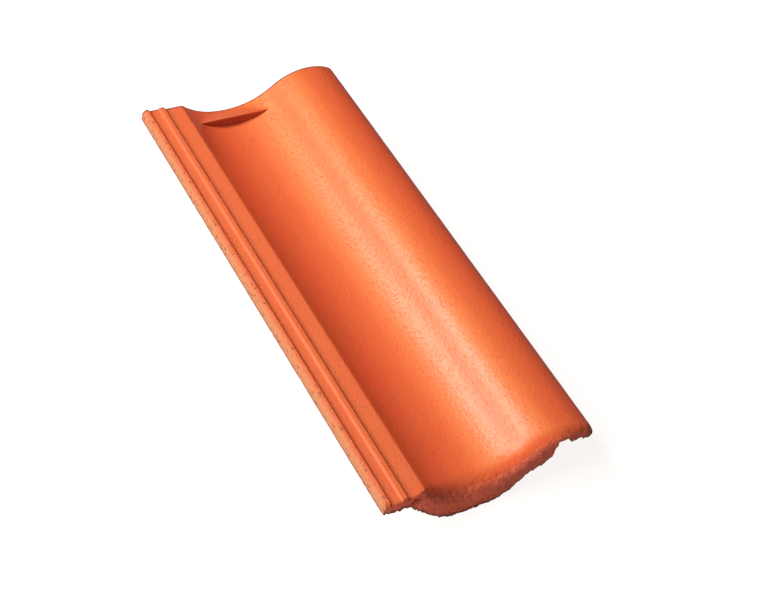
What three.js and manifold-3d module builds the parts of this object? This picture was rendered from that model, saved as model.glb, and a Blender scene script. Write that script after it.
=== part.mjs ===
// Half roof tile: a pressed concrete interlocking tile of half width, coated on top.
// One solid. X runs across the tile (side lock at -X, cover roll at +X), Y along it
// (foot at -Y, head at +Y), Z up. Millimetres.
import * as THREE from 'three';
import { mergeVertices } from 'three/addons/utils/BufferGeometryUtils.js';
import Module from 'manifold-3d';

const wasm = await Module();
wasm.setup();

// Plan.
const tileLength = 420;
const tileWidth = 180;
const crestInset = 28;             // crest of the roll, from the outer edge

// Wave of the top face. Heights are measured from the flat strip of the side lock.
const troughDepth = 15.8;
const rollHeight = 14.5;
const rollRadius = 46.5;
const bodyThickness = 12.5;
const edgeRadius = 16;             // rounded outer edge of the roll

// Side lock along the left edge.
const lockThickness = 8.5;         // concrete under the flat strip
const rimWidth = 5;
const rimHeight = 3.4;
const rimBevel = 1;
const channelWidth = 9;            // from the rim to the lock rib
const channelHeight = 1.3;
const ribWidth = 4;
const ribHeight = 2.3;
const wallRun = 1.3;               // plan width of each sloping rib wall
const stripBevel = 0.8;            // worn edge between the flat strip and the trough

// Cover lock under the roll. It hangs over the side lock of the next tile.
const lapGap = 0.8;                // clearance over each feature it covers
const hookDepth = 4;               // room over the rim of the next tile
const lipWidth = 8.6;              // outer lip, past the side lock that it covers
const lipDrop = 0.5;               // underside of the outer lip above the strip
const rollLedge = 4.5;             // first groove starts this far inside the cover pitch

// Foot: rounded nose and weather ribs on the underside.
const noseRadius = 8;
const noseSteps = 6;
const footDrop = 28;               // underside of the weather ribs below the top face
const footRibWidth = 14;
const footRibGap = 12;
const footRibCount = 2;
const ribInset = 5.5;              // weather ribs end this far inside the cover pitch
const toeX = 51;                   // from here a rib slopes up at 45 degrees to the side lock
const heelChamfer = 7;             // lower corner of a rib under the roll

// Head: dam across the trough, and the nib that hooks over the batten.
const damSetback = 18;
const damHeight = 8;
const damLean = 2;
const nibSetback = 22;             // from the head edge to the batten face
const nibWidth = 64;
const nibThickness = 12;
const nibTaper = 6;

const arcSteps = 14;               // two segments per step on every arc of the section
const embed = 1.5;                 // overlap of joined shapes inside the body

// The side lock and the cover width, which is what one half tile covers on the roof. From
// one trough to the next the wave is as long as that.
const lockWidth = rimWidth + channelWidth + wallRun + ribWidth + wallRun;
const coverPitch = tileWidth - lockWidth - lapGap - lipWidth;
const halfPitch = coverPitch / 2;
const troughX = tileWidth - crestInset - halfPitch;

// Centres of the two arcs of the wave, joined where they are tangent.
const waveHeight = troughDepth + rollHeight;
const radiusSum = (halfPitch ** 2 + waveHeight ** 2) / (2 * waveHeight);
const troughRadius = radiusSum - rollRadius;
const trough = new THREE.Vector2(troughX, troughRadius - troughDepth);
const roll = new THREE.Vector2(tileWidth - crestInset, rollHeight - rollRadius);
const joinAngle = Math.asin(halfPitch / radiusSum);
const down = -Math.PI / 2;
const up = Math.PI / 2;

// The outer edge of the roll turns down on a tighter arc, which meets the lip's underside
// at the full width. Its centre follows from the triangle of both centres and that point.
const lipEdge = new THREE.Vector2(tileWidth, lipDrop);
const lipReach = lipEdge.distanceTo(roll);
const centreGap = rollRadius - edgeRadius;
const edgeTurn = Math.acos((centreGap ** 2 + lipReach ** 2 - edgeRadius ** 2) / (2 * centreGap * lipReach));
const edgeStart = lipEdge.clone().sub(roll).angle() + edgeTurn;
const edge = new THREE.Vector2(centreGap, 0).rotateAround(new THREE.Vector2(), edgeStart).add(roll);
const edgeEnd = lipEdge.clone().sub(edge).angle();

// Angle on an arc about the trough centre, left of it, at height z or at place x.
const troughAtHeight = (radius, z) => down - Math.acos((trough.y - z) / radius);
const troughAtX = (radius, x) => down - Math.asin((trough.x - x) / radius);
const stripEnd = trough.x - Math.sqrt(troughRadius ** 2 - trough.y ** 2);

// Top face from the trough's left edge over the roll to the lip.
const waveStart = troughAtHeight(troughRadius, -stripBevel);

function addWave(shape) {
  shape.absarc(trough.x, trough.y, troughRadius, waveStart, down + joinAngle, false);
  shape.absarc(roll.x, roll.y, rollRadius, up + joinAngle, edgeStart, true);
  shape.absarc(edge.x, edge.y, edgeRadius, edgeStart, edgeEnd, true);
}

// Section of the body, walked clockwise from the lower left corner.
function bodySection() {
  const shape = new THREE.Shape();
  shape.moveTo(0, -lockThickness);
  shape.lineTo(0, rimHeight - rimBevel);
  shape.lineTo(rimBevel, rimHeight);
  let x = rimWidth;
  shape.lineTo(x, rimHeight);
  shape.lineTo(x + wallRun, channelHeight);
  x += channelWidth;
  shape.lineTo(x, channelHeight);
  shape.lineTo(x + wallRun, ribHeight);
  x += wallRun + ribWidth;
  shape.lineTo(x, ribHeight);
  x += wallRun;
  shape.lineTo(x, 0);
  shape.lineTo(stripEnd - stripBevel, 0);
  addWave(shape);
  addCoverLock(shape);

  const archRadius = rollRadius - bodyThickness;
  const archEnd = Math.acos((coverPitch - rollLedge - roll.x) / archRadius);
  shape.absarc(roll.x, roll.y, archRadius, archEnd, up + joinAngle, false);
  const bellyRadius = troughRadius + bodyThickness;
  const bellyStart = troughAtHeight(bellyRadius, -lockThickness);
  shape.absarc(trough.x, trough.y, bellyRadius, down + joinAngle, bellyStart, true);
  shape.closePath();
  return shape;
}

// Grooves and rib of the cover lock, from the outer lip inwards. They are the side lock
// of the next tile, one pitch to the right, with the lap clearance round them.
function addCoverLock(shape) {
  const ribEnd = coverPitch + lockWidth;
  shape.lineTo(ribEnd + lapGap, lipDrop);
  shape.lineTo(ribEnd - wallRun + lapGap, ribHeight + lapGap);
  const ribStart = ribEnd - 2 * wallRun - ribWidth;
  shape.lineTo(ribStart - lapGap + wallRun, ribHeight + lapGap);
  shape.lineTo(ribStart - lapGap, channelHeight + lapGap);
  const rimEnd = coverPitch + rimWidth + lapGap;
  shape.lineTo(rimEnd + wallRun, channelHeight + lapGap);
  shape.lineTo(rimEnd, rimHeight + hookDepth);
  shape.lineTo(coverPitch - rollLedge, rimHeight + hookDepth);
}

// A weather rib: its underside is the top wave again, lowered by the foot drop, with a
// sloping toe beside the side lock and a chamfered heel under the roll.
function footRibSection() {
  const toeAngle = troughAtX(troughRadius, toeX);
  const toeZ = trough.y - footDrop + troughRadius * Math.sin(toeAngle);
  const inside = bodyThickness / 2;
  const right = coverPitch - ribInset;
  const rollAngle = (radius, x) => Math.acos((x - roll.x) / radius);
  const heelX = right - heelChamfer;
  const heelZ = roll.y - footDrop + rollRadius * Math.sin(rollAngle(rollRadius, heelX));
  const shape = new THREE.Shape();
  shape.absarc(trough.x, trough.y - footDrop, troughRadius, toeAngle, down + joinAngle, false);
  shape.absarc(roll.x, roll.y - footDrop, rollRadius, up + joinAngle, rollAngle(rollRadius, heelX), true);
  shape.lineTo(right, heelZ + heelChamfer);
  const upper = rollRadius - inside;
  shape.absarc(roll.x, roll.y, upper, rollAngle(upper, right), up + joinAngle, false);
  const lower = troughRadius + inside;
  shape.absarc(trough.x, trough.y, lower, down + joinAngle, troughAtHeight(lower, -inside), true);
  shape.lineTo(toeX + toeZ + inside, -inside);
  shape.closePath();
  return shape;
}

// Everything that may stay at the foot: the top wave, with its end rounded inwards. Past
// the lip it runs straight on down.
function noseSection() {
  const wallX = trough.x + troughRadius * Math.cos(waveStart);
  const reach = 3 * noseRadius;
  const below = troughDepth + footDrop + reach;
  const shape = new THREE.Shape();
  shape.moveTo(-reach, -below);
  shape.lineTo(-reach, rimHeight);
  shape.lineTo(wallX, rimHeight);
  addWave(shape);
  shape.lineTo(tileWidth + (below + lipDrop) * Math.tan(edgeEnd), -below);
  shape.closePath();
  return shape;
}

// A section in X and Z, extruded from the head side y1 to the foot side y0.
function along(shape, y0, y1) {
  const options = { depth: y1 - y0, bevelEnabled: false, curveSegments: arcSteps };
  return new THREE.ExtrudeGeometry(shape, options).rotateX(Math.PI / 2).translate(0, y1, 0);
}

// A side view in Y and Z, extruded across the tile from x0 to x1.
function across(points, x0, x1) {
  const shape = new THREE.Shape(points.map(([y, z]) => new THREE.Vector2(y, z)));
  const options = { depth: x1 - x0, bevelEnabled: false };
  return new THREE.ExtrudeGeometry(shape, options)
    .rotateX(Math.PI / 2).rotateZ(Math.PI / 2).translate(x0, 0, 0);
}

function solid(geometry) {
  geometry.deleteAttribute('normal');
  geometry.deleteAttribute('uv');
  const merged = mergeVertices(geometry, 1e-4);
  return new wasm.Manifold(new wasm.Mesh({
    numProp: 3,
    vertProperties: new Float32Array(merged.attributes.position.array),
    triVerts: new Uint32Array(merged.index.array),
  }));
}

// Foot at y = 0 and head at y = tileLength while the solid is put together.
function buildTile() {
  let tile = solid(along(bodySection(), 0, tileLength));
  for (let i = 0; i < footRibCount; i += 1) {
    const y = i * (footRibWidth + footRibGap);
    tile = tile.add(solid(along(footRibSection(), y, y + footRibWidth)));
  }
  return tile.add(solid(nib())).add(solid(dam())).subtract(noseCutter());
}

// The nib reaches as low as the weather ribs. Its batten face is square to the tile.
function nib() {
  const bottom = -troughDepth - footDrop;
  const top = -troughDepth - bodyThickness + embed;
  const face = tileLength - nibSetback;
  const side = [
    [face, top], [face, bottom], [face + nibThickness, bottom], [face + nibThickness + nibTaper, top],
  ];
  return across(side, troughX - nibWidth / 2, troughX + nibWidth / 2);
}

// The dam is a wedge with a steep face to the foot, and it runs out at the head edge.
function dam() {
  const crest = -troughDepth + damHeight;
  const root = -troughDepth - embed;
  const y = tileLength - damSetback;
  const halfWidth = Math.sqrt(troughRadius ** 2 - (troughRadius - damHeight) ** 2) + embed;
  const side = [[y - damLean, root], [y, crest], [tileLength, root]];
  return across(side, troughX - halfWidth, troughX + halfWidth);
}

// What the rounded nose takes off: a block over the last stretch of the foot, less the
// shape that stays.
function noseCutter() {
  const clear = 2 * noseRadius;
  const options = {
    depth: clear,
    curveSegments: arcSteps,
    bevelThickness: noseRadius,
    bevelSize: noseRadius,
    bevelOffset: -noseRadius,
    bevelSegments: noseSteps,
  };
  const stays = new THREE.ExtrudeGeometry(noseSection(), options);
  stays.rotateX(Math.PI / 2).translate(0, clear + noseRadius, 0);
  const height = rollHeight + rollRadius;
  const block = new THREE.BoxGeometry(tileWidth + clear, clear, 2 * height);
  block.translate(tileWidth / 2, noseRadius - clear / 2, 0);
  return solid(block).subtract(solid(stays));
}

function toGeometry(manifold) {
  const { vertProperties, triVerts } = manifold.getMesh();
  const geometry = new THREE.BufferGeometry();
  geometry.setAttribute('position', new THREE.BufferAttribute(vertProperties, 3));
  geometry.setIndex(new THREE.BufferAttribute(triVerts, 1));
  geometry.computeVertexNormals();
  return geometry;
}

const coated = new THREE.MeshStandardMaterial({ color: 0xe8693a, roughness: 0.5, metalness: 0 });
const tile = new THREE.Mesh(toGeometry(buildTile()), coated);
tile.name = 'half_tile';
tile.position.set(-tileWidth / 2, -tileLength / 2, troughDepth + footDrop);

const group = new THREE.Group();
group.add(tile);
export default group;
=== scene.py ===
import math
import random

import bmesh
import bpy
from mathutils import Matrix, Vector, noise
from mathutils.kdtree import KDTree


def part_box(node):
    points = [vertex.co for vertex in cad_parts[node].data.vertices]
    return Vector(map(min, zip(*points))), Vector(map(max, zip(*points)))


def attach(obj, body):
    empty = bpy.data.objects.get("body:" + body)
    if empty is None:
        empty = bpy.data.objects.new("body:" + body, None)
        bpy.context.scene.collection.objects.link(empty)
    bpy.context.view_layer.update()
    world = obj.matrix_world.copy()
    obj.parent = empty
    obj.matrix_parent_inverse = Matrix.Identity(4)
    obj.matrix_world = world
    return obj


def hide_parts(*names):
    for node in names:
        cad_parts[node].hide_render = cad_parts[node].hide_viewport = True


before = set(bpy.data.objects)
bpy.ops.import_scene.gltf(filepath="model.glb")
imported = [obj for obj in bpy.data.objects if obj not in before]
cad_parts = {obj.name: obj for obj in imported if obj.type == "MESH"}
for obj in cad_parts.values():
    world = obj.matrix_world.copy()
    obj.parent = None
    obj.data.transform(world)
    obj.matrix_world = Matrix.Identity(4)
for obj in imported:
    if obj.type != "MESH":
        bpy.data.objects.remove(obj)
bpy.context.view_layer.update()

# ---------------------------------------------------------------------------------------
# The cross-section. The tile is one piece of stiff concrete that a roller presses on steel
# pallets into an endless strip, so side lock, trough, roll and cover lock run its whole
# length. Here x runs from the lock's edge, y from the foot and z from the lock's strip.
# ---------------------------------------------------------------------------------------
mm = 0.001
low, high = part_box("half_tile")
tile_length = high.y - low.y
tile_width = high.x - low.x

crest_inset = 28 * mm
trough_depth = 15.8 * mm
roll_height = 14.5 * mm
trough_radius = 61.5 * mm
roll_radius = 46.5 * mm
flank_angle = math.radians(41)
edge_radius = 16 * mm
body_thickness = 12.5 * mm

lock_thickness = 8.5 * mm
rim_width = 5 * mm
rim_height = 3.4 * mm
rim_round = 3.4 * mm
channel_width = 9 * mm
channel_height = 1.3 * mm
rib_width = 4 * mm
rib_height = 2.3 * mm
wall_run = 1.3 * mm
strip_bevel = 0.8 * mm
keel_bevel = 1.4 * mm

lap_gap = 0.8 * mm
hook_depth = 4 * mm
lip_width = 8.6 * mm
lip_drop = 0.5 * mm
lip_round = 1.5 * mm
roll_ledge = 4.5 * mm

lock_width = rim_width + channel_width + rib_width + 2 * wall_run
cover_width = tile_width - lock_width - lap_gap - lip_width
half_pitch = cover_width / 2
roll_x = tile_width - crest_inset
trough_x = roll_x - half_pitch
wave_height = trough_depth + roll_height
trough_z = trough_radius - trough_depth
roll_z = roll_height - roll_radius

# Trough and roll are joined by a straight flank, tangent to an arc on either side.
sine = math.sin(flank_angle)
cosine = math.cos(flank_angle)
radius_sum = (half_pitch * sine - wave_height * cosine) / (1 - cosine)
rise_radius = radius_sum - roll_radius
rise_z = rise_radius - trough_depth

# The roll's outer edge is a tighter arc that touches the roll and ends at the lip.
lip_turn = math.atan2(lip_drop - roll_z, crest_inset)
lip_reach = math.hypot(crest_inset, lip_drop - roll_z)
edge_gap = roll_radius - edge_radius
reach_squares = edge_gap ** 2 + lip_reach ** 2 - edge_radius ** 2
edge_start = lip_turn + math.acos(reach_squares / (2 * edge_gap * lip_reach))
edge_x = roll_x + edge_gap * math.cos(edge_start)
edge_z = roll_z + edge_gap * math.sin(edge_start)
edge_end = math.atan2(lip_drop - edge_z, tile_width - edge_x)
edge_sweep = edge_start - edge_end - lip_round / edge_radius

strip_end = trough_x - math.sqrt(trough_radius ** 2 - trough_z ** 2) - strip_bevel
wave_start = math.acos((trough_z + strip_bevel) / trough_radius)
belly_radius = trough_radius + body_thickness
belly_start = math.acos((trough_z + lock_thickness) / belly_radius)
arch_radius = roll_radius - body_thickness
arch_end = math.acos((cover_width - roll_ledge - roll_x) / arch_radius)


def run_to(bm, corner, x, z, steps):
    """A straight stretch of the outline from a corner to (x, z)."""
    start = corner.co.copy()
    for step in range(1, steps + 1):
        following = bm.verts.new(start.lerp(Vector((x, 0, z)), step / steps))
        bm.edges.new((corner, following))
        corner = following
    return corner


def turn_about(bm, corner, x, z, angle, steps):
    """A round stretch of the outline: the corner spun about (x, z), clockwise if negative."""
    spun = bmesh.ops.spin(bm, geom=[corner], cent=(x, 0, z), axis=(0, -1, 0), angle=angle, steps=steps)
    return next(g for g in spun["geom_last"] if isinstance(g, bmesh.types.BMVert))


body = bmesh.new()
up = body.verts.layers.float.new("up")

# Top face, from the rim of the lock over trough and roll to the lip: 105 steps.
corner = body.verts.new((0, 0, rim_height - rim_round))
corner = turn_about(body, corner, rim_round, rim_height - rim_round, -math.pi / 2, 6)
corner = run_to(body, corner, rim_width, rim_height, 1)
corner = run_to(body, corner, rim_width + wall_run, channel_height, 2)
corner = run_to(body, corner, rim_width + channel_width, channel_height, 4)
corner = run_to(body, corner, rim_width + channel_width + wall_run, rib_height, 2)
corner = run_to(body, corner, lock_width - wall_run, rib_height, 2)
corner = run_to(body, corner, lock_width, 0, 2)
corner = run_to(body, corner, strip_end, 0, 6)
corner = run_to(body, corner, trough_x - trough_radius * math.sin(wave_start), -strip_bevel, 1)
corner = turn_about(body, corner, trough_x, trough_z, wave_start, 22)
corner = turn_about(body, corner, trough_x, rise_z, flank_angle, 18)
corner = run_to(body, corner, roll_x - roll_radius * sine, roll_z + roll_radius * cosine, 4)
corner = turn_about(body, corner, roll_x, roll_z, edge_start - flank_angle - math.pi / 2, 29)
corner = turn_about(body, corner, edge_x, edge_z, -edge_sweep, 5)
top_face = body.verts[:]

# Underside, from the lock's keel to the lip, in as many steps. The cover lock under the roll
# is the next tile's side lock upside down, with a little play.
rim_end = cover_width + rim_width + lap_gap
rib_start = cover_width + rim_width + channel_width - lap_gap
rib_end = cover_width + lock_width + lap_gap
corner = body.verts.new((0, 0, keel_bevel - lock_thickness))
corner = run_to(body, corner, keel_bevel, -lock_thickness, 1)
corner = run_to(body, corner, trough_x - belly_radius * math.sin(belly_start), -lock_thickness, 25)
corner = turn_about(body, corner, trough_x, trough_z, belly_start, 22)
corner = turn_about(body, corner, trough_x, rise_z, flank_angle, 18)
corner = run_to(body, corner, roll_x - arch_radius * sine, roll_z + arch_radius * cosine, 4)
corner = turn_about(body, corner, roll_x, roll_z, arch_end - flank_angle - math.pi / 2, 9)
corner = run_to(body, corner, cover_width - roll_ledge, rim_height + hook_depth, 3)
corner = run_to(body, corner, rim_end, rim_height + hook_depth, 5)
corner = run_to(body, corner, rim_end + wall_run, channel_height + lap_gap, 3)
corner = run_to(body, corner, rib_start, channel_height + lap_gap, 3)
corner = run_to(body, corner, rib_start + wall_run, rib_height + lap_gap, 1)
corner = run_to(body, corner, rib_end - wall_run, rib_height + lap_gap, 3)
corner = run_to(body, corner, rib_end, lip_drop, 2)
run_to(body, corner, tile_width - lip_round, lip_drop, 5)

for vert in top_face:
    vert[up] = 1
top_line = [(vert.co.x, vert.co.z) for vert in top_face]
cross = bmesh.ops.bridge_loops(body, edges=body.edges[:])["edges"]
bmesh.ops.subdivide_edges(body, edges=cross, cuts=7, use_grid_fill=True)

# ---------------------------------------------------------------------------------------
# The slab. A knife cuts the pressed strip to the tile's length. The section is pushed from
# foot to head, its long edges are softened, and rows are cut where ribs, nib and dam need them.
# ---------------------------------------------------------------------------------------
soft_edge = 0.3 * mm
sharp_angle = math.radians(25)
foot_rib_width = 14 * mm
foot_rib_gap = 12 * mm
foot_rib_count = 2
rib_toe = 51 * mm
rib_heel = 7 * mm
rib_inset = 5.5 * mm
foot_drop = 28 * mm
nib_setback = 22 * mm
nib_width = 64 * mm
nib_thickness = 12 * mm
nib_taper = 6 * mm
nib_face = tile_length - nib_setback
nib_root = nib_thickness + nib_taper
dam_crest = tile_length - 19 * mm
dam_lean = 1 * mm
head_round = 0.9 * mm

pushed = bmesh.ops.extrude_face_region(body, geom=body.faces[:])["geom"]
head_verts = [g for g in pushed if isinstance(g, bmesh.types.BMVert)]
bmesh.ops.translate(body, verts=head_verts, vec=(0, tile_length, 0))
bmesh.ops.recalc_face_normals(body, faces=body.faces[:])
long_edges = [e for e in body.edges if e.calc_length() > tile_length / 2]
sharp = [e for e in long_edges if e.calc_face_angle(0) > sharp_angle]
bmesh.ops.bevel(body, geom=sharp, offset=soft_edge, offset_type="OFFSET", segments=2, profile=0.5,
                affect="EDGES", material=-1)

# Where each stretch along the tile ends, and the distance between its rows.
stretches = (
    (foot_rib_width, 0.8 * mm),
    (foot_rib_width + foot_rib_gap, 2 * mm),
    (2 * foot_rib_width + foot_rib_gap, 2 * mm),
    (nib_face, 2.8 * mm),
    (dam_crest - dam_lean, 1 * mm),
    (dam_crest, 0.2 * mm),
    (dam_crest + 1 * mm, 0.5 * mm),
    (nib_face + nib_root, 1 * mm),
    (tile_length - head_round, 1 * mm),
    (tile_length, head_round / 3),
)
rows = [0]
for stretch_end, row_gap in stretches:
    start = rows[-1]
    count = max(1, round((stretch_end - start) / row_gap))
    rows += [start + (stretch_end - start) * index / count for index in range(1, count + 1)]

toe_z = trough_z - foot_drop - math.sqrt(trough_radius ** 2 - (trough_x - rib_toe) ** 2)
toe_start = rib_toe + toe_z + lock_thickness
rib_stop = cover_width - rib_inset
heel_x = rib_stop - rib_heel
nib_range = (trough_x - nib_width / 2, trough_x + nib_width / 2)
planes = [((x, 0, 0), (1, 0, 0)) for x in (toe_start, rib_toe, *nib_range, heel_x, rib_stop)]
planes += [((0, y, 0), (0, 1, 0)) for y in rows[1:-1]]
for place, normal in planes:
    everything = body.verts[:] + body.edges[:] + body.faces[:]
    bmesh.ops.bisect_plane(body, geom=everything, plane_co=place, plane_no=normal)

# ---------------------------------------------------------------------------------------
# Weather ribs and batten nib. The pallet's mould presses them out of the same concrete on
# the back: two ribs under the foot that keep rain out, and a nib under the head that hooks
# over the roof batten.
# ---------------------------------------------------------------------------------------
toe_blend = 4 * mm
first_rib_sag = 4.2 * mm


def read_line(line, x):
    """Height at x on an outline given as (x, height) pairs from left to right."""
    if x <= line[0][0]:
        return line[0][1]
    for (x0, z0), (x1, z1) in zip(line, line[1:]):
        if x < x1:
            return z0 + (z1 - z0) * (x - x0) / (x1 - x0)
    return line[-1][1]


def ramp(value, start, stop):
    """0 at start, 1 at stop, in a straight line between and level beyond."""
    return min(1, max(0, (value - start) / (stop - start)))


def rib_floor(x, sag):
    """Underside of a weather rib: the wave lowered, a sloping toe, a sag and a chamfered heel."""
    sagging = sag * ramp(x, 90 * mm, 103 * mm) * ramp(x, 124 * mm, 115 * mm)
    floor_z = max(read_line(top_line, x) - foot_drop - sagging, -trough_depth - foot_drop)
    if x < trough_x:
        toe = toe_z + rib_toe - x
        return (toe + floor_z + math.hypot(toe - floor_z, toe_blend)) / 2
    if x < heel_x:
        return floor_z
    return read_line(top_line, heel_x) - foot_drop + x - heel_x


def grow_down(bm, x_range, y_range):
    """Extrudes the part of the underside that lies over a stretch of the plan."""
    middles = [(face, face.calc_center_median()) for face in bm.faces if face.normal.z < -0.2]
    region = [
        face for face, middle in middles
        if x_range[0] < middle.x < x_range[1] and y_range[0] < middle.y < y_range[1]
    ]
    grown = bmesh.ops.extrude_face_region(bm, geom=region)["geom"]
    bmesh.ops.delete(bm, geom=region, context="FACES")
    return [g for g in grown if isinstance(g, bmesh.types.BMVert)]


for index in range(foot_rib_count):
    rib_y = index * (foot_rib_width + foot_rib_gap)
    sag = first_rib_sag if index == 0 else 0
    for vert in grow_down(body, (toe_start, rib_stop), (rib_y, rib_y + foot_rib_width)):
        vert.co.z = min(rib_floor(vert.co.x, sag), vert.co.z)

for vert in grow_down(body, nib_range, (nib_face, nib_face + nib_root)):
    vert.co.z = -trough_depth - foot_drop
    vert.co.y = nib_face + (vert.co.y - nib_face) * nib_thickness / nib_root

tolerance = 0.01 * mm
bmesh.ops.remove_doubles(body, verts=body.verts[:], dist=tolerance)
bmesh.ops.dissolve_degenerate(body, edges=body.edges[:], dist=tolerance)


def split(bm, edges, cuts):
    bmesh.ops.subdivide_edges(bm, edges=edges, cuts=cuts, use_grid_fill=True)


# Rows of their own for the tall walls, then finer ones at the foot and on the bare rim. The
# foot's zones are given by where they end and the longest edge that they keep.
tall_wall = 3 * mm
foot_zones = ((foot_rib_width + 0.2 * mm, 1.1 * mm), (8.2 * mm, 0.9 * mm))
side_low = keel_bevel - lock_thickness - 0.1 * mm
split(body, [e for e in body.edges if abs(e.verts[0].co.z - e.verts[1].co.z) > tall_wall], 7)
for zone_end, longest in foot_zones:
    at_foot = [e for e in body.edges if max(v.co.y for v in e.verts) < zone_end]
    split(body, [e for e in at_foot if e.calc_length() > longest], 1)
rim_edges = [e for e in body.edges if max(v.co.x for v in e.verts) < rim_width + 0.1 * mm]
rim_edges = [e for e in rim_edges if min(v.co.z for v in e.verts) > side_low]
split(body, [e for e in rim_edges if abs(e.verts[0].co.y - e.verts[1].co.y) > 1.5 * mm], 2)

# ---------------------------------------------------------------------------------------
# The foot's nose. The knife drags the wet skin over the cut, so the top face turns down at
# the foot in a round edge: hardly at the lock, widely over trough and roll, less at the lip.
# ---------------------------------------------------------------------------------------
# Its reach along the tile and its depth, in mm, at places in mm from the lock's edge.
nose_reach = [
    (0, 5), (5, 4), (7, 2), (14, 2), (16, 1.5), (31, 1.5), (35, 3), (39, 8),
    (46, 13), (70, 17), (125, 16), (150, 11), (180, 8),
]
nose_depth = [
    (0, 6), (5, 5), (7, 3), (14, 3), (16, 3), (30, 4), (36, 8), (45, 13),
    (70, 17), (125, 18), (145, 11), (165, 8), (180, 5),
]
eighth_turn = math.pi / 4


def is_top(vert):
    return vert[up] > 0.99


for vert in body.verts:
    x, y, z = vert.co
    depth = read_line(top_line, x) - z
    reach = read_line(nose_reach, x / mm) * mm
    drop = read_line(nose_depth, x / mm) * mm
    if is_top(vert) and y < reach:
        turn = (1 - y / reach) * eighth_turn
    elif y < tolerance and depth < drop:
        turn = (1 + depth / drop) * eighth_turn
    else:
        continue
    vert.co.y = reach * (1 - math.sin(turn))
    vert.co.z = z + depth - drop * (1 - math.cos(turn))

# The lip's corner is free and comes off with the knife, so it is round in plan.
lip_corner = 6 * mm
lip_zone = 160 * mm
for vert in body.verts:
    if vert.co.x > lip_zone and vert.co.y < lip_corner:
        inset = lip_corner - math.sqrt(lip_corner ** 2 - (lip_corner - vert.co.y) ** 2)
        share = (tile_width - inset - lip_zone) / (tile_width - lip_zone)
        vert.co.x = lip_zone + (vert.co.x - lip_zone) * share

# The strip's end is broken off obliquely, and a short seam under it is open.
break_reach = 14 * mm
break_slant = 2.6 * mm
seam_depth = 2.4 * mm
seam_x = 28 * mm
seam_z = -6 * mm
for vert in body.verts:
    x, y, z = vert.co
    if y < break_reach and z > -break_reach:
        shift = break_slant * ramp(x, 12 * mm, 34 * mm) * ramp(x, 44 * mm, 36 * mm)
        shift *= ramp(z, -10 * mm, -5 * mm)
        if y < 1 * mm:
            beside = max(0, 1 - abs(x - seam_x) / (7 * mm))
            shift += seam_depth * beside * max(0, 1 - abs(z - seam_z) / (2.5 * mm))
        vert.co.y += shift * (1 - y / break_reach)

# ---------------------------------------------------------------------------------------
# The dam. A low bar across the head of the trough stops rain that the wind drives up. It is
# pressed up in the same concrete: a steep face to the foot, a slope to the head edge, and
# ends that run out into the trough's sides.
# ---------------------------------------------------------------------------------------
dam_reach = 38 * mm
dam_run_out = 4 * mm
dam_top = 9 * mm - trough_depth
dam_root = -trough_depth - 1.5 * mm
dam_zone = dam_crest - 3 * mm
near_dam = [
    e for e in body.edges
    if min(v.co.y for v in e.verts) > dam_zone and all(is_top(v) for v in e.verts)
    and abs(e.verts[0].co.y - e.verts[1].co.y) < 0.1 * mm and abs(e.verts[0].co.x - trough_x) < 36 * mm
]
split(body, near_dam, 1)
for vert in body.verts:
    aside = abs(vert.co.x - trough_x)
    if is_top(vert) and vert.co.y > dam_zone and aside < dam_reach:
        x, y, z = vert.co
        if y < dam_crest:
            ridge = dam_root + (dam_top - dam_root) * (y - dam_crest + dam_lean) / dam_lean
            blend = 1 * mm
        else:
            ridge = dam_root + (dam_top - dam_root) * (tile_length - y) / (tile_length - dam_crest)
            blend = (0.1 + 2.4 * ramp(y, dam_crest, dam_crest + 8 * mm)) * mm
        raised = (z + ridge + math.hypot(z - ridge, blend)) / 2
        vert.co.z = z + ramp(aside, dam_reach, dam_reach - dam_run_out) * (raised - z)

# The cut at the head leaves a slightly rounded edge. The face below is lowered with it.
for vert in body.verts:
    if vert.co.y > tile_length - head_round + tolerance:
        past = min(1, (vert.co.y - tile_length + head_round) / head_round)
        depth = read_line(top_line, vert.co.x) - vert.co.z
        share = 1 if is_top(vert) else ramp(depth, 4 * mm, 0)
        vert.co.z -= share * head_round * (1 - math.sqrt(1 - past ** 2))

# ---------------------------------------------------------------------------------------
# The finish. The wet top is sprayed with a red coat of cement slurry, which thins out at the
# cuts. Painted shade and painted light are in the coat's colour: a deep red on faces turned
# from the light, dark in corners and on the dam's steep face, paler on the flank. The cut foot
# and the lock's side stay bare, with chips, pits where grains broke out, and a brown hem along
# their lower edges, partly dirt and partly painted shade where the faces turn under.
# ---------------------------------------------------------------------------------------
body.normal_update()
coated = body.verts.layers.float.new("coated")
painted_shade_red = body.verts.layers.float.new("painted_shade_red")
sided = body.verts.layers.float.new("sided")
hem_and_shade = body.verts.layers.float.new("hem_and_shade")
flank_light_and_crumb = body.verts.layers.float.new("flank_light_and_crumb")
shade_and_smear_dark = body.verts.layers.float.new("shade_and_smear_dark")


def lumps(place, size, octaves, shift=0):
    """Smooth seeded noise between -1 and 1, with lumps of about the given size."""
    return noise.fractal((place + Vector((shift, 0, 0))) / size, 1.0, 2.0, octaves)


def near_foot(vert):
    """1 on the first 17 mm from the foot, and 0 from 24 mm on."""
    return ramp(vert.co.y, 24 * mm, 17 * mm)


def facing_foot(vert):
    """How squarely a spot on the nose or the foot's face looks out of the tile."""
    return ramp(-vert.normal.y, 0.3, 0.95) * near_foot(vert)


def on_skin(vert):
    """1 on the top face that the roller formed, less where it turns over and 0 on the faces below."""
    return ramp(vert[up], 0.5, 1) * ramp(vert.normal.z, -0.25, 0.25)


def on_rim(vert):
    """1 on the outer part of the lock's rim and on the side below it."""
    return ramp(vert.co.x, 5.5 * mm, 3.5 * mm) * ramp(vert.co.z, -8.4 * mm, -7 * mm)


def fringe(vert):
    """How far a worn border strays from its line, as a share."""
    return 0.14 * lumps(vert.co, 5 * mm, 3)


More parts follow.
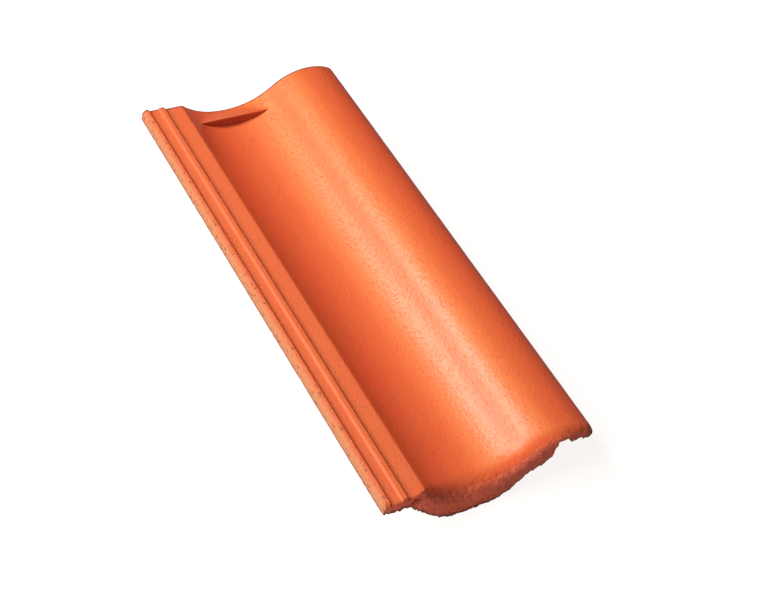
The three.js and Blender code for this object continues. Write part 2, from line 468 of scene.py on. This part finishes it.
def low_line(x):
    """Lower edge of the foot face."""
    if x < toe_start:
        return -lock_thickness
    if x < trough_x:
        return min(rib_floor(x, first_rib_sag), -lock_thickness)
    if x < rib_stop:
        return rib_floor(x, first_rib_sag)
    if x < lip_zone:
        return max(read_line(top_line, x) - body_thickness, lip_drop)
    return lip_drop


def head_mark(place, x, y, x_size, y_size):
    """A soft spot on the skin near the head, round (x, y)."""
    return math.exp(-((place.x - x) / x_size) ** 2 - ((place.y - y) / y_size) ** 2)


# Where the coat lies, where the lock's side shows, and the brown hem along the cut edges,
# which is partly dirt and partly painted shade where the faces turn under or away from the light.
for vert in body.verts:
    x, y, z = vert.co
    stray = fringe(vert) * mm
    skin = on_skin(vert)
    forward = facing_foot(vert)
    if is_top(vert) and near_foot(vert) == 0:
        cover = ramp(vert.normal.z, -0.25, 0.25)
    else:
        thin_from = 0.5 + 0.25 * ramp(x, 80 * mm, 110 * mm)
        worn = ramp(-vert.normal.y + fringe(vert), thin_from, thin_from + 0.5)
        cover = skin * (1 - worn * near_foot(vert))
    if x < 36 * mm:
        worn_back = (0.8 + 1.6 * ramp(x, 8 * mm, 2 * mm)) * mm
        cover = min(cover, ramp(y + 6 * stray, 0.4 * worn_back, worn_back))
    cover = min(cover, ramp(tile_length - y + 3 * stray, 0.1 * mm, 0.9 * mm))
    outward = ramp(-vert.normal.x, 0.3, 0.9)
    side = outward * on_rim(vert)
    vert[coated] = max(cover * (1 - 0.6 * side), 0.3 * side * (1 - forward))
    vert[sided] = side * (1 - forward)

    # The hems are partly dirt and partly painted shade along edges that turn under.
    foot_hem = ramp(z - low_line(x) + 6 * stray, 3 * mm, 1.1 * mm) * ramp(y, 3 * mm, 1 * mm)
    keel_hem = outward * ramp(x, 3 * mm, 1 * mm) * ramp(z + 4 * stray, -4.4 * mm, -6 * mm)
    head_hem = ramp(tile_length - y + 4 * stray, 2.2 * mm, 1.1 * mm) * ramp(vert[up], 0.8, 1)
    roll_hem = ramp(x + 4 * stray, 174 * mm, 177.5 * mm) * skin
    lip_hem = ramp(x, 148 * mm, 154 * mm) * ramp(y, 9 * mm, 6 * mm)
    lip_hem *= ramp(z + 10 * stray, 8 * mm, 5.5 * mm)
    # Painted shade on the bare foot face under the roll, which faces away from the light.
    roll_face = forward * (1 - cover) * ramp(x, 85 * mm, 110 * mm)
    vert[hem_and_shade] = max(
        foot_hem, 0.7 * keel_hem, head_hem, 0.15 * roll_hem, 0.5 * lip_hem, 0.3 * roll_face,
    )

# Shades of the coat, which are painted shade and painted light: a deep red painted shade on faces
# turned to the roll's side, away from the light, in the grooves and on the nose; a dark painted
# shade at the trough's edge and on the dam's steep face; and paler painted light on the flank,
# where it faces the light.
groove_corners = (rim_width + wall_run / 2, lock_width - wall_run / 2)
for vert in body.verts:
    place, normal = vert.co, vert.normal
    skin = on_skin(vert)
    past_strip = ramp(place.x, 34 * mm, 36 * mm)
    # Painted shade: deep red on faces turned to the roll's side, away from the light.
    vert[painted_shade_red] = ramp(normal.x, -0.1, 0.5) * skin * past_strip
    # Painted shade in the grooves, on the walls that face away from the light.
    for corner_x in groove_corners:
        in_groove = ramp(abs(place.x - corner_x), 1.6 * mm, 0.8 * mm) * ramp(normal.x, 0.2, 0.7)
        vert[painted_shade_red] = max(vert[painted_shade_red], in_groove * skin)
    # Painted shade, dark, along the strip's edge where it drops into the trough.
    strip_edge = abs(place.x - strip_end - strip_bevel)
    vert[shade_and_smear_dark] = 0.4 * ramp(strip_edge, 1 * mm, 0.2 * mm) * skin
    # Painted shade, dark, on the dam's steep face, which faces away from the light.
    if place.y > dam_zone and skin > 0:
        vert[shade_and_smear_dark] = max(vert[shade_and_smear_dark], ramp(-normal.y, 0.4, 0.8))
    # Painted shade on the nose where it turns down to the foot: redder and a little dark.
    turned_down = ramp(-normal.y, 0.2, 0.7) * near_foot(vert) * skin * past_strip
    vert[painted_shade_red] = max(vert[painted_shade_red], 0.25 * turned_down)
    vert[shade_and_smear_dark] = max(vert[shade_and_smear_dark], 0.1 * turned_down)
    # Painted light: the coat is painted paler on the flank where it faces the light, not on the nose.
    slope = -normal.x * skin * ramp(place.x, 60 * mm, 80 * mm)
    vert[flank_light_and_crumb] = ramp(slope, 0.12, 0.42) * ramp(slope, 0.72, 0.58) * ramp(-normal.y, 0.5, 0.2)

# Roughness: a light wave on the skin, coarser sand on bare faces, and a torn foot.
moves = {}
for vert in body.verts:
    place = vert.co
    skin = on_skin(vert)
    rim = on_rim(vert)
    rough = 0.06 * mm * lumps(place, 12 * mm, 2) * skin * ramp(place.x, 24 * mm, 36 * mm)
    rough += (1 - skin) * (1 - rim) * 0.2 * mm * lumps(place, 4 * mm, 2)
    rough += rim * mm * (0.16 * lumps(place, 4 * mm, 2) + 0.14 * lumps(place, 1.8 * mm, 1) - 0.12)
    lock_end = ramp(place.x, 24 * mm, 16 * mm) * ramp(place.y, 4 * mm, 0.5 * mm)
    rough += lock_end * mm * (0.5 * lumps(place, 3 * mm, 2, 20 * mm) - 0.2)
    torn = 0.4 * lumps(place, 5 * mm, 2) + 0.22 * lumps(place, 1.5 * mm, 2) - 0.15
    rough += facing_foot(vert) * mm * torn
    moves[vert] = vert.normal * rough

# A smear and a crumb of concrete that the press left on the skin before the dam's two ends.
for vert in body.verts:
    place = vert.co
    if place.y > 380 * mm and on_skin(vert) > 0:
        smear = head_mark(place, 102 * mm, 392 * mm, 7 * mm, 4 * mm)
        crumb = head_mark(place, 44 * mm, 398 * mm, 2.5 * mm, 2 * mm)
        swell = mm * (0.35 * smear + 0.5 * crumb) * (1 + 3 * lumps(place, 3 * mm, 1))
        moves[vert] += vert.normal * swell
        # The crumb takes the pale colour of the painted light and leaves the red painted shade.
        vert[painted_shade_red] *= 1 - crumb
        vert[flank_light_and_crumb] = max(vert[flank_light_and_crumb], crumb)
        # The smear gets dark spots, in the colour that elsewhere is painted shade.
        vert[shade_and_smear_dark] = max(vert[shade_and_smear_dark], 0.35 * smear * ramp(lumps(place, 2.5 * mm, 1), 0, 0.15))

# Pits where grains broke out of the rim, and the coat with them. Two in three are on the side.
pit_count = 420
pits = KDTree(pit_count)
pit_sizes = []
random.seed(11)
for index in range(pit_count):
    pit_x = random.choice((0, 0, random.uniform(0, 5))) * mm
    pit_y = random.uniform(0, 420) * mm
    pit_z = read_line(top_line, pit_x) if pit_x > 0 else random.uniform(-8, 2) * mm
    pits.insert((pit_x, pit_y, pit_z), index)
    pit_sizes.append(random.uniform(0.7, 1.8) * mm)
pits.balance()
for vert in body.verts:
    if on_rim(vert) > 0:
        pit, index, gap = pits.find(vert.co)
        dent = ramp(gap, pit_sizes[index], 0.3 * pit_sizes[index])
        moves[vert] -= vert.normal * (0.25 * pit_sizes[index] * dent * on_rim(vert))
        vert[coated] *= 1 - 0.8 * dent

# Chips along the lower edge of the foot, deepest at the lock.
chip_zone = 3 * mm
for vert in body.verts:
    x, y, z = vert.co
    if y < chip_zone and on_skin(vert) < 0.5:
        chip = 1.1 * lumps(vert.co, 4 * mm, 2, 40 * mm) + 1.6 * lumps(vert.co, 1.9 * mm, 1, 80 * mm)
        chip *= 1 + 0.6 * ramp(x, 22 * mm, 14 * mm) - 0.5 * ramp(x, 140 * mm, 150 * mm)
        lift = chip + 1.6 * ramp(x, 9 * mm, 1 * mm)
        moves[vert].z += mm * lift * (1 - y / chip_zone) * ramp(vert.normal.z, 0.2, -0.2)

for vert, move in moves.items():
    vert.co += move
    vert.co.x = min(max(vert.co.x, 0), tile_width)
    vert.co.y = min(max(vert.co.y, 0), tile_length)
    vert.co.z = min(max(vert.co.z, -trough_depth - foot_drop), roll_height)
foot_face = [v for v in body.verts if v.co.y < 2 * mm and not is_top(v)]
bmesh.ops.smooth_vert(body, verts=foot_face, factor=0.25, use_axis_x=True, use_axis_z=True)

# The dam's steep face is a crisp plane, so it is shaded flat. All else is shaded smooth.
body.normal_update()
for face in body.faces:
    middle = face.calc_center_median()
    on_dam = dam_zone < middle.y < dam_crest + 1 * mm and middle.z > dam_root
    face.smooth = not (on_dam and face.normal.y < -0.75)

# The finished mesh moves from the lock's edge, foot and strip to its place in the frame.
mesh = bpy.data.meshes.new("half_tile_concrete")
body.to_mesh(mesh)
mesh.transform(Matrix.Translation((low.x, low.y, low.z + trough_depth + foot_drop)))
tile = bpy.data.objects.new("half_tile_concrete", mesh)
bpy.context.scene.collection.objects.link(tile)

# ---------------------------------------------------------------------------------------
# The coated concrete. A matt red coat with a leathery grain, pinholes and a few dark specks
# lies over sandy bare concrete, which is olive and brown along the lock's side. The masks
# on the mesh say where each of them shows, and where the coat and the hem carry painted
# shade and painted light.
# ---------------------------------------------------------------------------------------
coat_red = (0.60, 0.108, 0.033)
coat_shade_red = (0.86, 0.099, 0.034)
coat_shade_and_smear_dark = (0.28, 0.022, 0.010)
coat_light_and_crumb = (0.60, 0.163, 0.045)
coat_cloudy = (0.62, 0.130, 0.038)
coat_streaked = (0.60, 0.09, 0.028)
coat_grain = (0.52, 0.08, 0.025)
pinhole_dark = (0.45, 0.075, 0.025)
speck_dark = (0.25, 0.05, 0.025)
bare_red = (0.64, 0.100, 0.050)
bare_sandy = (0.80, 0.145, 0.068)
bare_shaded = (0.46, 0.08, 0.042)
rim_olive = (0.27, 0.150, 0.058)
rim_brown = (0.32, 0.118, 0.048)
rim_sandy = (0.30, 0.165, 0.082)
pit_dark = (0.24, 0.060, 0.024)
hem_and_shade_brown = (0.10, 0.055, 0.042)
coat_roughness = 0.35
bare_roughness = 0.92
grain_depth = 0.0005

material = bpy.data.materials.new("coated_concrete")
material.use_nodes = True
tree = material.node_tree
shader = tree.nodes["Principled BSDF"]
shader.inputs["Specular IOR Level"].default_value = 0.3


def add(tree, kind, **values):
    """A node with its properties and unlinked sockets set by name."""
    made = tree.nodes.new(kind)
    for name, value in values.items():
        if hasattr(made, name):
            setattr(made, name, value)
        else:
            made.inputs[name.replace("_", " ")].default_value = value
    return made


def feed(tree, value, socket):
    """Links a socket to another one, or writes a colour or number on it."""
    if isinstance(value, bpy.types.NodeSocket):
        tree.links.new(value, socket)
    elif isinstance(value, tuple):
        socket.default_value = (*value, 1)
    else:
        socket.default_value = value


def mapped(tree, source, from_range, to_range):
    """A value carried over from one range to another, held at the ends."""
    node = add(tree, "ShaderNodeMapRange")
    sockets = ("From Min", "From Max", "To Min", "To Max")
    for name, value in zip(sockets, (*from_range, *to_range)):
        node.inputs[name].default_value = value
    tree.links.new(source, node.inputs["Value"])
    return node.outputs["Result"]


def mixed(tree, factor, first, second):
    """Mix of two colours, each an output or an RGB tuple."""
    node = add(tree, "ShaderNodeMix", data_type="RGBA")
    feed(tree, factor, node.inputs["Factor"])
    feed(tree, first, node.inputs[6])
    feed(tree, second, node.inputs[7])
    return node.outputs[2]


def computed(tree, operation, first, second):
    node = add(tree, "ShaderNodeMath", operation=operation)
    feed(tree, first, node.inputs[0])
    feed(tree, second, node.inputs[1])
    return node.outputs[0]


def scaled(tree, value, factor):
    return computed(tree, "MULTIPLY", value, factor)


coordinates = add(tree, "ShaderNodeTexCoord").outputs["Object"]


def mask(name):
    return add(tree, "ShaderNodeAttribute", attribute_name=name).outputs["Fac"]


def noise_at(scale, detail, roughness=0.5, stretch=(1, 1, 1)):
    node = add(tree, "ShaderNodeTexNoise", Scale=scale, Detail=detail, Roughness=roughness)
    spread = add(tree, "ShaderNodeMapping", Scale=stretch)
    tree.links.new(coordinates, spread.inputs["Vector"])
    tree.links.new(spread.outputs["Vector"], node.inputs["Vector"])
    return node.outputs["Fac"]


def specks_at(scale, share, radius):
    """Round dots: one Voronoi cell in so many has one, of up to the given radius in cells."""
    cells = add(tree, "ShaderNodeTexVoronoi", Scale=scale)
    tree.links.new(coordinates, cells.inputs["Vector"])
    pick = add(tree, "ShaderNodeSeparateColor")
    tree.links.new(cells.outputs["Color"], pick.inputs["Color"])
    size = mapped(tree, pick.outputs["Red"], (1 - share, 1), (0, radius))
    return mapped(tree, computed(tree, "SUBTRACT", size, cells.outputs["Distance"]), (0, 0.08), (0, 1))


leather = noise_at(430, 3, 0.6, (1, 0.75, 1))
sand = noise_at(1100, 3, 0.7)
cloud = noise_at(35, 3)
streak = noise_at(160, 2, 0.5, (1, 0.05, 1))
specks = specks_at(170, 0.14, 0.16)
holes = specks_at(300, 0.9, 0.5)
pinholes = specks_at(430, 0.6, 0.36)
side_mask = mask("sided")
flank_light_and_crumb_mask = mask("flank_light_and_crumb")

# The coat: its painted shade and painted light, then clouds and streaks along the tile, then
# grain, painted stronger where the flank is painted light, then pinholes and specks.
# Painted shade, deep red, on faces turned from the light.
coat = mixed(tree, mask("painted_shade_red"), coat_red, coat_shade_red)
# Painted shade, dark, at the trough's edge, on the dam's face and nose; dark spots on the smear.
coat = mixed(tree, mask("shade_and_smear_dark"), coat, coat_shade_and_smear_dark)
# Painted light, paler, on the flank, and the crumb's pale colour.
coat = mixed(tree, flank_light_and_crumb_mask, coat, coat_light_and_crumb)
coat = mixed(tree, mapped(tree, cloud, (0.35, 0.65), (0, 0.3)), coat, coat_cloudy)
coat = mixed(tree, mapped(tree, streak, (0.45, 0.3), (0, 0.25)), coat, coat_streaked)
# The grain's dark marks are painted stronger on the flank where it is painted light.
grain_share = mapped(tree, flank_light_and_crumb_mask, (0, 1), (0.25, 0.6))
grain = computed(tree, "MULTIPLY", grain_share, mapped(tree, leather, (0.48, 0.36), (0, 1)))
coat = mixed(tree, grain, coat, coat_grain)
coat = mixed(tree, scaled(tree, pinholes, 0.25), coat, pinhole_dark)
coat = mixed(tree, scaled(tree, specks, 0.7), coat, speck_dark)

# Bare concrete, and the coat on it, whose border frays with the sand.
bare = mixed(tree, mapped(tree, sand, (0.35, 0.65), (0, 1)), bare_red, bare_sandy)
bare = mixed(tree, mapped(tree, leather, (0.55, 0.35), (0, 0.5)), bare, bare_shaded)
wear = computed(tree, "ADD", mask("coated"), mapped(tree, sand, (0.3, 0.7), (-0.22, 0.22)))
covered = mapped(tree, wear, (0.2, 0.8), (0, 1))
colour = mixed(tree, covered, bare, coat)

# The lock's side and the outer half of its rim, with dark pits, and the brown hem over all,
# which is partly dirt and partly painted shade.
along = add(tree, "ShaderNodeSeparateXYZ")
tree.links.new(coordinates, along.inputs["Vector"])
rim_top = mapped(tree, along.outputs["X"], (low.x + 4.4 * mm, low.x + 1.5 * mm), (0, 0.5))
rim_zone = mapped(tree, along.outputs["X"], (low.x + 4.4 * mm, low.x + 3.8 * mm), (0, 1))
rimmed = mixed(tree, mapped(tree, leather, (0.4, 0.6), (0, 1)), rim_olive, rim_brown)
rimmed = mixed(tree, mapped(tree, sand, (0.45, 0.65), (0, 0.7)), rimmed, rim_sandy)
rim_share = computed(tree, "MAXIMUM", rim_top, scaled(tree, side_mask, 0.8))
colour = mixed(tree, rim_share, colour, rimmed)
pocked = scaled(tree, computed(tree, "MULTIPLY", holes, rim_zone), 0.75)
colour = mixed(tree, pocked, colour, pit_dark)
colour = mixed(tree, scaled(tree, mask("hem_and_shade"), 0.85), colour, hem_and_shade_brown)
tree.links.new(colour, shader.inputs["Base Color"])

# The coat has a soft gloss, half as much on the lock and none on its side or on bare concrete.
lock_zone = mapped(tree, along.outputs["X"], (low.x + strip_end, low.x + strip_end - 1 * mm), (0, 1))
glossy = computed(tree, "MULTIPLY", covered, mapped(tree, side_mask, (0, 0.5), (1, 0)))
glossy = computed(tree, "MULTIPLY", glossy, mapped(tree, lock_zone, (0, 1), (1, 0.5)))
roughness = mapped(tree, glossy, (0, 1), (bare_roughness, coat_roughness))
tree.links.new(roughness, shader.inputs["Roughness"])

# Fine relief, too small for the mesh: the coat's leather and pinholes, and sand where it is bare.
coat_height = computed(tree, "SUBTRACT", scaled(tree, leather, 0.6), scaled(tree, pinholes, 0.25))
bare_height = computed(tree, "ADD", scaled(tree, sand, 0.9), leather)
bare_height = computed(tree, "SUBTRACT", bare_height, scaled(tree, pocked, 0.3))
height = add(tree, "ShaderNodeMix", data_type="FLOAT")
tree.links.new(covered, height.inputs["Factor"])
tree.links.new(bare_height, height.inputs[2])
tree.links.new(coat_height, height.inputs[3])
bump = add(tree, "ShaderNodeBump", Strength=1, Distance=grain_depth)
tree.links.new(height.outputs[0], bump.inputs["Height"])
tree.links.new(bump.outputs["Normal"], shader.inputs["Normal"])
mesh.materials.append(material)

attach(tile, "root")
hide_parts("half_tile")

# ---------------------------------------------------------------------------------------
# The floor. A wide matt board, painted off-white, that the tile lies on. It takes the tile's
# shadow, and looks nearly white to the camera and dim to reflections, at any distance.
# ---------------------------------------------------------------------------------------
floor_size = 4
floor_white = (0.9, 0.86, 0.84, 1)
floor_glow = (1, 0.96, 0.945, 1)
floor_mesh = bpy.data.meshes.new("floor")
floor_board = bmesh.new()
bmesh.ops.create_grid(floor_board, x_segments=1, y_segments=1, size=floor_size)
floor_board.to_mesh(floor_mesh)
floor = bpy.data.objects.new("floor", floor_mesh)
bpy.context.scene.collection.objects.link(floor)

floor_paint = bpy.data.materials.new("floor_paint")
floor_paint.use_nodes = True
tree = floor_paint.node_tree
surface = tree.nodes["Principled BSDF"]
surface.inputs["Base Color"].default_value = floor_white
surface.inputs["Roughness"].default_value = 1
surface.inputs["Specular IOR Level"].default_value = 0
path = add(tree, "ShaderNodeLightPath")
dim = add(tree, "ShaderNodeEmission", Strength=0.25)
mirrored = add(tree, "ShaderNodeMixShader")
tree.links.new(path.outputs["Is Glossy Ray"], mirrored.inputs[0])
tree.links.new(surface.outputs[0], mirrored.inputs[1])
tree.links.new(dim.outputs[0], mirrored.inputs[2])
glow = add(tree, "ShaderNodeEmission", Color=floor_glow, Strength=1.22)
shown = add(tree, "ShaderNodeMixShader")
tree.links.new(scaled(tree, path.outputs["Is Camera Ray"], 0.75), shown.inputs[0])
tree.links.new(mirrored.outputs[0], shown.inputs[1])
tree.links.new(glow.outputs[0], shown.inputs[2])
tree.links.new(shown.outputs[0], tree.nodes["Material Output"].inputs[0])
floor_mesh.materials.append(floor_paint)

# ---------------------------------------------------------------------------------------
# The lamps. Three square studio lamps at one distance: a large one at the lock's side, a
# small one nearer the head that draws the gloss on the flank, and a weak one across from them.
# ---------------------------------------------------------------------------------------
lamp_distance = 1.8
lamps = (
    # name, degrees from the lock's side towards the head, degrees up, size in m, watts
    ("key", 0, 33, 1.0, 47),
    ("gloss", 38, 51, 0.35, 23),
    ("right", 180, 30, 1.0, 1.5),
)
for name, turned, raised, size, energy in lamps:
    around = math.radians(turned)
    above = math.radians(raised)
    toward = Vector((
        -math.cos(around) * math.cos(above),
        math.sin(around) * math.cos(above),
        math.sin(above),
    ))
    lamp_data = bpy.data.lights.new(name, "AREA")
    lamp_data.size = size
    lamp_data.energy = energy
    lamp = bpy.data.objects.new(name, lamp_data)
    bpy.context.scene.collection.objects.link(lamp)
    lamp.location = toward * lamp_distance
    lamp.rotation_euler = toward.to_track_quat("Z", "Y").to_euler()

# ---------------------------------------------------------------------------------------
# The room and the camera. The white room gives a little light from all round, and the
# camera looks down along the tile from the lock's side of the foot.
# ---------------------------------------------------------------------------------------
room_light = 0.06
room = bpy.data.worlds.new("room")
room.use_nodes = True
tree = room.node_tree
walls = tree.nodes["Background"]
walls.inputs["Color"].default_value = (1, 1, 1, 1)
room_path = add(tree, "ShaderNodeLightPath")
room_level = mapped(tree, room_path.outputs["Is Camera Ray"], (0, 1), (room_light, 1))
tree.links.new(room_level, walls.inputs["Strength"])
bpy.context.scene.world = room

camera_data = bpy.data.cameras.new("camera")
camera_data.lens = 72.2
camera = bpy.data.objects.new("camera", camera_data)
bpy.context.scene.collection.objects.link(camera)
camera.location = (-0.5229, -0.6536, 0.8950)
camera.rotation_euler = (math.radians(42.252), math.radians(-10.804), math.radians(-28.929))
bpy.context.scene.camera = camera
bpy.context.scene.view_settings.view_transform = "Standard"
